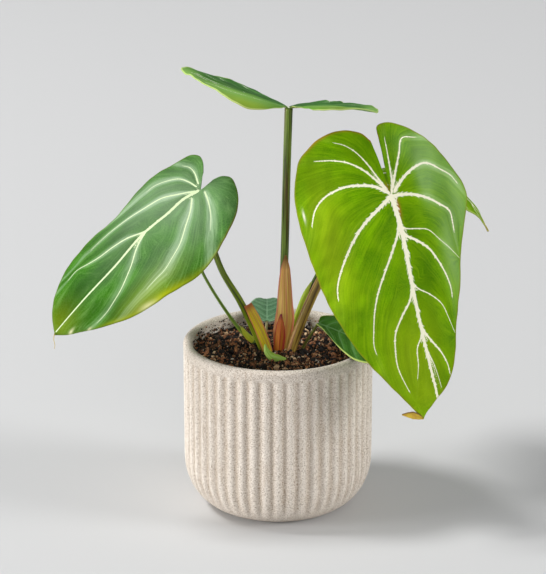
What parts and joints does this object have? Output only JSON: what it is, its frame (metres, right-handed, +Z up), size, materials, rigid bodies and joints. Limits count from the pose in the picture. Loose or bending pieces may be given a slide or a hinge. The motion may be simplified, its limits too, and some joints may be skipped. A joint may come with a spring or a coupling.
{
  "type": "potted plant",
  "caption": "Philodendron with broad heart-shaped pale-veined leaves on slender stalks, growing in a round ribbed stoneware pot filled with potting mix.",
  "frame": {"origin": "centre of the pot's flat foot, on the surface that it stands on", "axes": "+X right and +Y away from the viewer in the front view, +Z up along the pot's axis"},
  "size_m": [0.34, 0.2413, 0.3487],
  "materials": {
    "stoneware": "matte unglazed stoneware with fine dark speckles",
    "potting_mix": "rough damp bark and peat crumbs with white perlite",
    "rhizome_bark": "matte brown bark",
    "bud_green": "satin fresh green skin",
    "stalk_olive": "satin olive skin with fine lengthwise streaks",
    "stalk_brown": "satin brown and olive skin with fine lengthwise streaks",
    "leaf_mid_green": "velvety mid green with pale cream veins and grey sheen along them",
    "leaf_yellow_green": "velvety yellow green with cream white veins",
    "leaf_dark_green": "velvety dark green with pale veins and a pale underside",
    "leaf_blue_green": "velvety blue green with a pale midrib",
    "sheath_gold": "thin dry golden tissue with pink edges and a brown tip",
    "sheath_red": "thin orange brown tissue with a dark red tip",
    "sheath_green": "thin yellow green tissue"
  },
  "bodies": {
    "root": {"pot": "stoneware", "soil": "potting_mix", "rhizome": "rhizome_bark", "bud": "bud_green", "petiole_left": "stalk_olive", "petiole_right_back": "stalk_olive", "petiole_left_small": "stalk_olive", "petiole_right_small": "stalk_olive", "petiole_back_small": "stalk_olive", "petiole_right": "stalk_brown", "petiole_top": "stalk_brown", "blade_left": "leaf_mid_green", "blade_left_small": "leaf_mid_green", "blade_right": "leaf_yellow_green", "blade_right_back": "leaf_yellow_green", "blade_top": "leaf_dark_green", "blade_right_small": "leaf_dark_green", "blade_back_small": "leaf_blue_green", "sheath_top": "sheath_gold", "sheath_left": "sheath_gold", "sheath_top_short": "sheath_red", "sheath_right_back": "sheath_green", "sheath_left_small": "sheath_green"}
  },
  "joints": []
}
